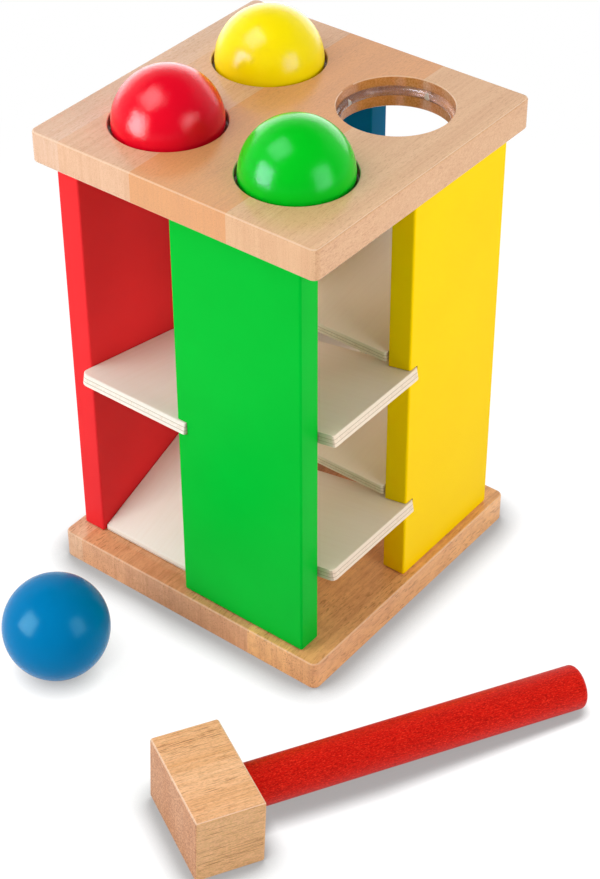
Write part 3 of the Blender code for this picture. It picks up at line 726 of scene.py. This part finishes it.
def lay_board(piece, along, across, start=(0.0, 0.0, 0.0), sawn_or_shaded=lambda face: 0.0):
    """Store where each point lies in its board, along, across and through it, and how each face was cut: whether
    it shows end grain, how much darker it is drawn, for a bored wall and for painted shade, and whether it lies
    on an eased edge, where a painted highlight goes."""
    along, across = Vector(along).normalized(), Vector(across).normalized()
    axes = np.array([along, across, along.cross(across)])
    points = np.empty(len(piece.data.vertices) * 3, np.float32)
    piece.data.vertices.foreach_get("co", points)
    places = (points.reshape(-1, 3) - np.array(start)) @ axes.T
    board = piece.data.attributes.new("board", "FLOAT_VECTOR", "POINT")
    board.data.foreach_set("vector", places.astype(np.float32).ravel())
    cuts = []
    for face in piece.data.polygons:
        across_grain = abs(face.normal.dot(along)) > FACING
        darker = sawn_or_shaded(face)
        eased = EASED[0] < abs(face.normal.z) < EASED[1] and not darker
        cuts.append((float(across_grain), darker, float(eased)))
    cut = piece.data.attributes.new("cut", "FLOAT_VECTOR", "FACE")
    cut.data.foreach_set("vector", np.array(cuts, np.float32).ravel())


# %% [markdown]
# ## Sizes
# The frame's boxes give the sizes that the pieces share. A ring's box gives its bead and the hole that
# it sits in, and the green panel's box gives the outline of all four panels, which are the same board
# at four quarter turns round the tower.

# %% Sizes from the frame
FIT_GAP = 0.0003                    # between pieces that touch
QUARTERS = ("left", "front", "right", "back")
COLOURS = ("green", "yellow", "blue", "red")
RING_SINK = 0.0003                  # from a hole's wall out to the middle of its ring's bead

ring_low, ring_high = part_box("left_ring")
bead_radius = (ring_high.z - ring_low.z) / 2
ring_radius = (ring_high.x - ring_low.x) / 2 - bead_radius
hole_radius = ring_radius - RING_SINK
ring_level = (ring_low.z + ring_high.z) / 2
plate_low, plate_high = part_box("top_plate")
base_low, base_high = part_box("base_plate")
panel_low, panel_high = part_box("green_panel")


def middle(node):
    """The middle of a node's box."""
    low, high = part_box(node)
    return (low + high) / 2


print(f"holes {2 * hole_radius / MM:.1f} mm, beads {2 * bead_radius / MM:.1f} mm")

# %% [markdown]
# ## Plates
# Each plate is a square board with rounded corners and eased edges. The top plate has four holes, a
# little wider than the balls, with a round groove in each wall for the clear ring. The grain runs from
# front to back, so the front face shows end grain. The four upright edges are bevelled first, so that the
# smaller bevel of the others runs on round the corners.

# %% Plate outline
CORNER_RADIUS = 0.0035
CORNER_STEPS = 8
EDGE_RADIUS = 0.0010
EDGE_STEPS = 4


def plate(name, low, high):
    """A square board with round corners and eased edges."""
    piece = block(name, low, high)
    round_edges(piece, CORNER_RADIUS, CORNER_STEPS, is_upright)
    round_edges(piece, EDGE_RADIUS, EDGE_STEPS, lambda edge: not is_upright(edge))
    return piece


# %% [markdown]
# A hole is round, as are a screw, a dowel and the hammer's handle, so all of these are turned from a
# profile. Spin could turn it, but its two ends would have to be merged. Here a disc is extruded and resized
# from point to point of the profile, which leaves no seam. The hole's shape is then cut out of the plate.

# %% Ball holes
HOLE_EASE = 0.0004
HOLE_STEPS = 128
GROOVE_STEPS = 12
PAST = 0.002                        # how far a cutter runs past a face


def turned(name, profile, steps):
    """Turn a profile of (radius, height) points: a disc is extruded and resized from point to point."""
    (radius, height), *others = profile
    bpy.ops.object.select_all(action="DESELECT")
    bpy.ops.mesh.primitive_circle_add(vertices=steps, radius=radius, fill_type="NGON", location=(0, 0, height))
    bpy.ops.object.transform_apply(location=True, rotation=True, scale=True)
    piece = bpy.context.object
    piece.name = name
    edit(piece)
    bpy.ops.mesh.select_mode(type="FACE")
    bpy.ops.mesh.select_all(action="SELECT")
    for wide, high in others:
        rise = {"value": (0.0, 0.0, high - height)}
        bpy.ops.mesh.extrude_region_move(TRANSFORM_OT_translate=rise)
        bpy.ops.transform.resize(value=(wide / radius, wide / radius, 1.0), center_override=(0.0, 0.0, high))
        radius, height = wide, high
    bpy.ops.mesh.select_all(action="SELECT")
    bpy.ops.mesh.normals_make_consistent(inside=False)
    bpy.ops.object.mode_set(mode="OBJECT")
    return piece


def ball_hole(centre):
    """The cutter for a hole with eased rims and a groove for its ring."""
    rim = hole_radius + HOLE_EASE + PAST
    groove = bead_radius + FIT_GAP
    reach = pi / 2 + asin(RING_SINK / groove)
    angles = [reach * (2 * step / GROOVE_STEPS - 1) for step in range(GROOVE_STEPS + 1)]
    profile = [(rim, plate_low.z - PAST), (hole_radius, plate_low.z + HOLE_EASE)]
    profile += [(ring_radius + groove * cos(angle), ring_level + groove * sin(angle)) for angle in angles]
    profile += [(hole_radius, plate_high.z - HOLE_EASE), (rim, plate_high.z + PAST)]
    return put(turned("ball_hole", profile, HOLE_STEPS), Matrix.Translation((centre.x, centre.y, 0.0)))


# %% Top plate
BORED_DARK = 0.46                   # how much of the sawn colour a hole's wall takes on
RIPPED_SIDE_PAINTED_SHADE = 0.20                  # and, as painted shade, the two sides that were ripped along the grain


def is_bored(face):
    """True for a face of a hole's wall or groove."""
    inside = max(abs(face.center.x), abs(face.center.y)) < plate_high.x - CORNER_RADIUS
    return inside and plate_low.z + HOLE_EASE < face.center.z < plate_high.z - HOLE_EASE


def top_darkening(face):
    """How much of the darker colour a face of the top plate takes on: a hole's wall, and the two sides as painted
    shade.
    """
    return BORED_DARK if is_bored(face) else RIPPED_SIDE_PAINTED_SHADE * (abs(face.normal.x) > FACING)


top_plate = plate("top", plate_low, plate_high)
carve(top_plate, [ball_hole(middle(f"{name}_ring")) for name in QUARTERS])
lay_board(top_plate, (0, 1, 0), (1, 0, 0), sawn_or_shaded=top_darkening)
dress(top_plate, "top_plate", top_beech)
print(f"plates {(plate_high.x - plate_low.x) / MM:.0f} mm square")

# %% [markdown]
# ## Screws and dowels
# Two countersunk screws come up through the base into each panel, and two dowels join each panel to the
# top plate. Only the screw heads can be seen, from below, sunk in the base. Each head has a cross recess,
# cut with two crossed blades. The dowels have flutes, which let glue and air out of a blind hole.

# %% A screw
SCREW_RECESS_WIDTH = 0.0011
SCREW_RECESS_LENGTH = 0.0044
SCREW_RECESS_DEPTH = 0.0018
SCREW_HEAD_RIM = 0.0005
SCREW_RADIUS = 0.0020
SCREW_POINT = 0.004
SCREW_TIP_RADIUS = 0.00025
SCREW_STEPS = 32
screw_names = [f"base_screw_{colour}_{number}" for colour in COLOURS for number in (1, 2)]
screw_low, screw_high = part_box(screw_names[0])
head_radius = (screw_high.x - screw_low.x) / 2
neck = screw_low.z + SCREW_HEAD_RIM + head_radius - SCREW_RADIUS

model_screw = turned("screw", [
    (head_radius, screw_low.z), (head_radius, screw_low.z + SCREW_HEAD_RIM), (SCREW_RADIUS, neck),
    (SCREW_RADIUS, screw_high.z - SCREW_POINT), (SCREW_TIP_RADIUS, screw_high.z)], SCREW_STEPS)
half_width, half_length = SCREW_RECESS_WIDTH / 2, SCREW_RECESS_LENGTH / 2
recess_top = screw_low.z + SCREW_RECESS_DEPTH
for wide, long in ((half_width, half_length), (half_length, half_width)):
    blade = block("blade", (-wide, -long, screw_low.z - PAST), (wide, long, recess_top))
    carve(model_screw, [blade])
print(f"screws {(screw_high.z - screw_low.z) / MM:.0f} mm long")


# %% Base plate and its screws
def copied(piece, name):
    """A copy of a piece with a mesh of its own."""
    twin = piece.copy()
    twin.data = piece.data.copy()
    twin.name = name
    bpy.context.collection.objects.link(twin)
    return twin


base_plate = plate("base", base_low, base_high)
mouth = head_radius + FIT_GAP
shank = SCREW_RADIUS + FIT_GAP
sinks = []
for node in screw_names:
    spot = Matrix.Translation(Vector((*middle(node).xy, 0.0)))
    dress(put(copied(model_screw, node), spot), node, zinc)
    sink = turned("sink", [(mouth, base_low.z - PAST), (mouth, screw_low.z + SCREW_HEAD_RIM),
                           (shank, neck), (shank, base_high.z + PAST)], SCREW_STEPS)
    sinks.append(put(sink, spot))
bpy.data.objects.remove(model_screw)
carve(base_plate, sinks)
lay_board(base_plate, (0, 1, 0), (1, 0, 0))
dress(base_plate, "base_plate", base_beech)
print(f"{len(screw_names)} screws")

# %% Dowels
DOWEL_FLUTES = 16
FLUTE_STEPS = 4                     # one point in so many round a dowel is sunk
DOWEL_FLUTE_DEPTH = 0.00025
DOWEL_CHAMFER = 0.0008
dowel_names = [f"top_dowel_{colour}_{number}" for colour in COLOURS for number in (1, 2)]
dowel_low, dowel_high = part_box(dowel_names[0])
dowel_radius = (dowel_high.x - dowel_low.x) / 2
dowel_steps = FLUTE_STEPS * DOWEL_FLUTES
end_radius = dowel_radius - DOWEL_CHAMFER

model_dowel = turned("dowel", [
    (end_radius, dowel_low.z), (dowel_radius, dowel_low.z + DOWEL_CHAMFER),
    (dowel_radius, dowel_high.z - DOWEL_CHAMFER), (end_radius, dowel_high.z)], dowel_steps)
edit(model_dowel)
pick("VERT", lambda vert: round(atan2(vert.co.y, vert.co.x) / (2 * pi / dowel_steps)) % FLUTE_STEPS == 0)
flute = 1 - DOWEL_FLUTE_DEPTH / dowel_radius
bpy.ops.transform.resize(value=(flute, flute, 1.0), center_override=(0.0, 0.0, 0.0))
bpy.ops.object.mode_set(mode="OBJECT")
for node in dowel_names:
    dowel = put(copied(model_dowel, node), Matrix.Translation(Vector((*middle(node).xy, 0.0))))
    lay_board(dowel, (0, 0, 1), (1, 0, 0))
    dress(dowel, node, dowel_birch)
bpy.data.objects.remove(model_dowel)
print(f"{len(dowel_names)} dowels")

# %% [markdown]
# ## Ramps
# A ramp is a plywood board that slopes down towards the tower's axis. Its high end sits in the notch of
# the panel that carries it. Its edges are lightly sanded and its corners rounded by hand, each a little
# differently. A board that is tilted inside its box keeps its middle in the box's middle, so the box
# gives its place, and the slope gives its length. Each is shaped while it lies level, where its edges are
# easy to tell apart, and is tilted last.

# %% A ramp's size and place
RAMP_SLOPE = radians(10.5)
RAMP_EDGE_RADIUS = 0.0005
RAMP_EDGE_STEPS = 3
SIDE_EDGE_PAINTED_SHADE = 0.45                  # how much of the dark edge colour the side edges take on, as painted shade
END_EDGE_DARKENING = 0.10                   # and the two ends, which are drawn a little darker
RAMPS = {   # node: the quarter turn of the panel that carries it, the radii of its free and its held corners
    "upper_left_ramp": (0, 0.0040, 0.0010), "lower_front_ramp": (1, 0.0025, 0.0020),
    "upper_front_ramp": (1, 0.0012, 0.0022), "lower_right_ramp": (2, 0.0020, 0.0020),
    "upper_right_ramp": (2, 0.0020, 0.0020), "lower_back_ramp": (3, 0.0012, 0.0020),
    "upper_back_ramp": (3, 0.0012, 0.0020),
}
ramp_low, ramp_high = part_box("upper_left_ramp")
ramp_middle = (ramp_low + ramp_high) / 2
ramp_width = ramp_high.x - ramp_low.x
ramp_length = (ramp_high.y - ramp_low.y - PLY_SHEET * sin(RAMP_SLOPE)) / cos(RAMP_SLOPE)


def quarter(turn):
    """The turn that carries the green panel's side to another side."""
    return Matrix.Rotation(turn * pi / 2, 4, "Z")


def ramp_place(node):
    """Where a ramp lies, before its quarter turn."""
    centre = Vector((ramp_middle.x, ramp_middle.y, middle(node).z))
    return Matrix.Translation(centre) @ Matrix.Rotation(-RAMP_SLOPE, 4, "X")


def edge_darkening(face):
    """How much of the dark edge colour a face of a ramp takes on: painted shade on the side edges, a little on the
    ends.
    """
    return SIDE_EDGE_PAINTED_SHADE * (abs(face.normal.x) > FACING) + END_EDGE_DARKENING * (abs(face.normal.y) > FACING)


print(f"ramps {ramp_width / MM:.1f} x {ramp_length / MM:.1f} mm")

# %% Seven ramps
half = Vector((ramp_width, ramp_length, PLY_SHEET)) / 2
for node, (turn, free_radius, held_radius) in RAMPS.items():
    ramp = block(node, -half, half)
    round_edges(ramp, free_radius, CORNER_STEPS, lambda edge: is_upright(edge) and edge.verts[0].co.x < 0)
    round_edges(ramp, held_radius, CORNER_STEPS, lambda edge: is_upright(edge) and edge.verts[0].co.x > half.x / 2)
    round_edges(ramp, RAMP_EDGE_RADIUS, RAMP_EDGE_STEPS, lambda edge: not is_upright(edge))
    lay_board(ramp, (0, 1, 0), (-1, 0, 0), (0.0, 0.0, half.z), edge_darkening)
    sheet = pale_ply if node == "upper_left_ramp" else ply_with_painted_yellow_bounce
    dress(put(ramp, quarter(turn) @ ramp_place(node)), node, sheet)
print(f"{len(RAMPS)} ramps")

# %% [markdown]
# The exit ramp lies on the base plate. It is cut from a block by three planes: its sloping face, the
# face under it, and its square back end. Bisect cuts and fills each one.

# %% Exit ramp
EXIT_SLOPE = radians(22.0)
EXIT_NOSE = 0.003
exit_low, exit_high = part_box("exit_ramp")
slope_up = Vector((0.0, cos(EXIT_SLOPE), sin(EXIT_SLOPE)))
slope_out = Vector((0.0, -sin(EXIT_SLOPE), cos(EXIT_SLOPE)))
nose = Vector((0.0, exit_low.y, exit_low.z + EXIT_NOSE))
under = nose - PLY_SHEET * slope_out
back = nose + slope_up * ((exit_high.z - nose.z) / sin(EXIT_SLOPE))

exit_ramp = block("exit", exit_low, exit_high)
edit(exit_ramp)
for point, outwards in ((nose, slope_out), (under, -slope_out), (back, slope_up)):
    bpy.ops.mesh.select_all(action="SELECT")
    bpy.ops.mesh.bisect(plane_co=point, plane_no=outwards, use_fill=True, clear_outer=True)
bpy.ops.object.mode_set(mode="OBJECT")
round_edges(exit_ramp, RAMP_EDGE_RADIUS, RAMP_EDGE_STEPS)
lay_board(exit_ramp, slope_up, (-1, 0, 0), nose)
dress(exit_ramp, "exit_ramp", pale_ply)
print(f"exit ramp to {exit_high.z / MM:.1f} mm")

# %% [markdown]
# ## Panels
# The four panels are the same painted board, turned round the tower. The slanted notches for the ramps
# were sawn after painting, so their walls are bare wood, which shows as a thin brown edge at the end of
# each slot. The notch cutters carry that wood, and the Boolean hands it on to what they cut.

# %% Notches and pilot holes
bare_wood = beech("bare_cut_wood", ("#B98A5E",), "#9A6C42", "#7E5430", roughness=0.7)


def notch(node):
    """The slot for a ramp: the ramp's own board with a fit gap round it, run out past the panel."""
    gap = Vector((FIT_GAP, 0.0, FIT_GAP))
    reach = Vector((0.0, PAST, 0.0))
    cutter = block("notch", -half - gap - reach, half + gap)
    cutter.data.materials.append(bare_wood)
    return put(cutter, ramp_place(node))


def pilot(node, low, high, radius):
    """A round hole for a screw or a dowel, in the green panel's place."""
    back_turn = quarter(-COLOURS.index(node.split("_")[2]))
    spot = back_turn @ middle(node)
    hole = turned("pilot", [(radius, low), (radius, high)], SCREW_STEPS)
    hole.data.materials.append(bare_wood)
    return put(hole, Matrix.Translation((spot.x, spot.y, 0.0)))


# %% Panels
PANEL_EDGE_RADIUS = 0.0010
model_panel = block("panel", panel_low, panel_high)
round_edges(model_panel, PANEL_EDGE_RADIUS, EDGE_STEPS)
for turn, colour in enumerate(COLOURS):
    panel = copied(model_panel, colour)
    panel.data.materials.append(PAINTS[colour])
    cutters = [notch(node) for node, held in RAMPS.items() if held[0] == turn]
    for number in (1, 2):
        cutters.append(pilot(f"base_screw_{colour}_{number}", panel_low.z - PAST, screw_high.z + FIT_GAP, shank))
        cutters.append(pilot(f"top_dowel_{colour}_{number}", dowel_low.z - FIT_GAP, panel_high.z + PAST,
                             dowel_radius + FIT_GAP))
    carve(panel, cutters)
    lay_board(panel, (0, 0, 1), (1, 0, 0))
    dress(put(panel, quarter(turn)), f"{colour}_panel")
bpy.data.objects.remove(model_panel)
print(f"{len(COLOURS)} panels")

# %% [markdown]
# ## Rings
# Each hole holds a ring of clear soft plastic, which grips a ball until the hammer knocks it through. The
# ring is a round bead, nicked from inside so that it can open. A torus makes the bead, and the corner of
# a square blade cuts each nick, whose walls keep the blade's frosted finish.

# %% A nicked ring
RING_NICKS = 4
NICK_START = pi / HOLE_STEPS        # half a step round, so that no blade meets the torus's own points
NICK_BLADE = 0.0017
BEAD_STEPS = 20

bpy.ops.object.select_all(action="DESELECT")
bpy.ops.mesh.primitive_torus_add(location=(0.0, 0.0, ring_level), major_radius=ring_radius,
                                 minor_radius=bead_radius, major_segments=HOLE_STEPS, minor_segments=BEAD_STEPS)
bpy.ops.object.transform_apply(location=True, rotation=True, scale=True)
model_ring = bpy.context.object
model_ring.data.materials.append(clear_plastic)
blades = []
for nick in range(RING_NICKS):
    blade = block("blade", (-NICK_BLADE / 2, -NICK_BLADE / 2, ring_low.z - PAST),
                  (NICK_BLADE / 2, NICK_BLADE / 2, ring_high.z + PAST))
    blade.data.materials.append(frosted_cut)
    inside = Matrix.Translation((ring_radius - bead_radius, 0.0, 0.0)) @ Matrix.Rotation(pi / 4, 4, "Z")
    blades.append(put(blade, Matrix.Rotation(NICK_START + 2 * pi * nick / RING_NICKS, 4, "Z") @ inside))
carve(model_ring, blades)
print(f"a ring with {RING_NICKS} nicks")

# %% Rings
for name in QUARTERS:
    node = f"{name}_ring"
    centre = middle(node)
    ring = put(copied(model_ring, node), Matrix.Translation((centre.x, centre.y, 0.0)))
    dress(ring, node)
    tower_gloss.objects.link(ring)
bpy.data.objects.remove(model_ring)
print(f"{len(QUARTERS)} rings")

# %% [markdown]
# ## Balls
# A ball starts as a cube, subdivided and pushed out to a sphere, so that it has no poles. Turned wood is
# never quite round and dipped lacquer never quite even, so a Displace modifier with soft clouds moves
# the surface by a few hundredths of a millimetre, which bends the soft boxes' reflections.

# %% A round ball
BALL_CUTS = 47
ball_radius = (ball_high.z - ball_low.z) / 2    # of the blue one, and the others are the same

model_ball = block("ball", (-ball_radius,) * 3, (ball_radius,) * 3)
edit(model_ball)
bpy.ops.mesh.select_all(action="SELECT")
bpy.ops.mesh.subdivide(number_cuts=BALL_CUTS)
bpy.ops.transform.tosphere(value=1.0)
bpy.ops.object.mode_set(mode="OBJECT")
spread = max(vert.co.length for vert in model_ball.data.vertices)
print(f"a ball of {2 * ball_radius / MM:.1f} mm, {len(model_ball.data.polygons)} faces")

# %% Lacquered balls
LACQUER_WAVE = 9 * MM
LACQUER_SAG = 0.05 * MM
wave = bpy.data.textures.new("lacquer_wave", "CLOUDS")
wave.noise_scale = LACQUER_WAVE
to_size = Matrix.Scale((ball_radius - LACQUER_SAG) / spread, 4)
for colour in COLOURS:
    node = f"{colour}_ball"
    ball = put(copied(model_ball, node), Matrix.Translation(middle(node)) @ to_size)
    uneven = ball.modifiers.new("uneven", "DISPLACE")
    uneven.texture = wave
    uneven.texture_coords = "LOCAL"
    uneven.strength = LACQUER_SAG
    apply(ball, uneven)
    dress(ball, node, LACQUERS[colour])
    gloss.objects.link(ball)
    if middle(node).z > base_high.z + ball_radius:
        tower_gloss.objects.link(ball)
bpy.data.objects.remove(model_ball)

# %% [markdown]
# ## Hammer
# The hammer lies on the floor on the inner edge of its head and the end of its handle. The head is a
# beech block with eased edges, and the handle is a stained dowel glued into it, with a rounded end. Both
# are shaped while they lie level, and one matrix then carries both to their place on the floor.

# %% Hammer's place
HAMMER_PLACE = (0.0957, -0.1535)
HAMMER_HEADING = radians(62.0)
HEAD_LENGTH = 0.052                 # across the handle
HEAD_WIDTH = 0.031                  # along the handle
HEAD_HEIGHT = 0.034
HANDLE_RADIUS = 0.010
HANDLE_REACH = 0.16195              # outside the head
HANDLE_SOCKET = 0.022               # inside the head
HANDLE_END_RADIUS = 0.0022

hammer_tilt = atan2(HEAD_HEIGHT / 2 - HANDLE_RADIUS, HANDLE_REACH - HANDLE_END_RADIUS)
hammer_place = (Matrix.Translation((*HAMMER_PLACE, 0.0)) @ Matrix.Rotation(HAMMER_HEADING, 4, "Z")
                @ Matrix.Rotation(hammer_tilt, 4, "Y"))
along_handle = Matrix.Translation((0.0, 0.0, HEAD_HEIGHT / 2)) @ Matrix.Rotation(pi / 2, 4, "Y")
print(f"hammer tilted {hammer_tilt / radians(1):.2f} degrees")

# %% Head
HEAD_EDGE_RADIUS = 0.0012
STRIKING_FACE_PAINTED_SHADE = 0.25                # how much darker the two striking faces are drawn, as painted shade
HANDLE_STEPS = 96
head = block("head", (-HEAD_WIDTH, -HEAD_LENGTH / 2, 0.0), (0.0, HEAD_LENGTH / 2, HEAD_HEIGHT))
round_edges(head, HEAD_EDGE_RADIUS, EDGE_STEPS)
socket_radius = HANDLE_RADIUS + FIT_GAP
socket = turned("socket", [(socket_radius, -HANDLE_SOCKET - FIT_GAP), (socket_radius, PAST)], HANDLE_STEPS)
carve(head, [put(socket, along_handle)])
lay_board(head, (1, 0, 0), (0, 1, 0), sawn_or_shaded=lambda face: STRIKING_FACE_PAINTED_SHADE * (abs(face.normal.y) > FACING))
dress(put(head, hammer_place), "hammer_head", hammer_beech)
print(f"head {HEAD_LENGTH / MM:.0f} x {HEAD_WIDTH / MM:.0f} x {HEAD_HEIGHT / MM:.0f} mm")

# %% Handle
END_STEPS = 6
end_angles = [pi / 2 * step / END_STEPS for step in range(END_STEPS + 1)]
profile = [(HANDLE_RADIUS, -HANDLE_SOCKET)]
profile += [(HANDLE_RADIUS - HANDLE_END_RADIUS * (1 - cos(angle)),
             HANDLE_REACH - HANDLE_END_RADIUS * (1 - sin(angle))) for angle in end_angles]
handle = put(turned("handle", profile, HANDLE_STEPS), along_handle)
lay_board(handle, (1, 0, 0), (0, 1, 0))
dress(put(handle, hammer_place), "hammer_handle", handle_stain)
print(f"handle {2 * HANDLE_RADIUS / MM:.0f} mm thick, {HANDLE_REACH / MM:.0f} mm outside the head")
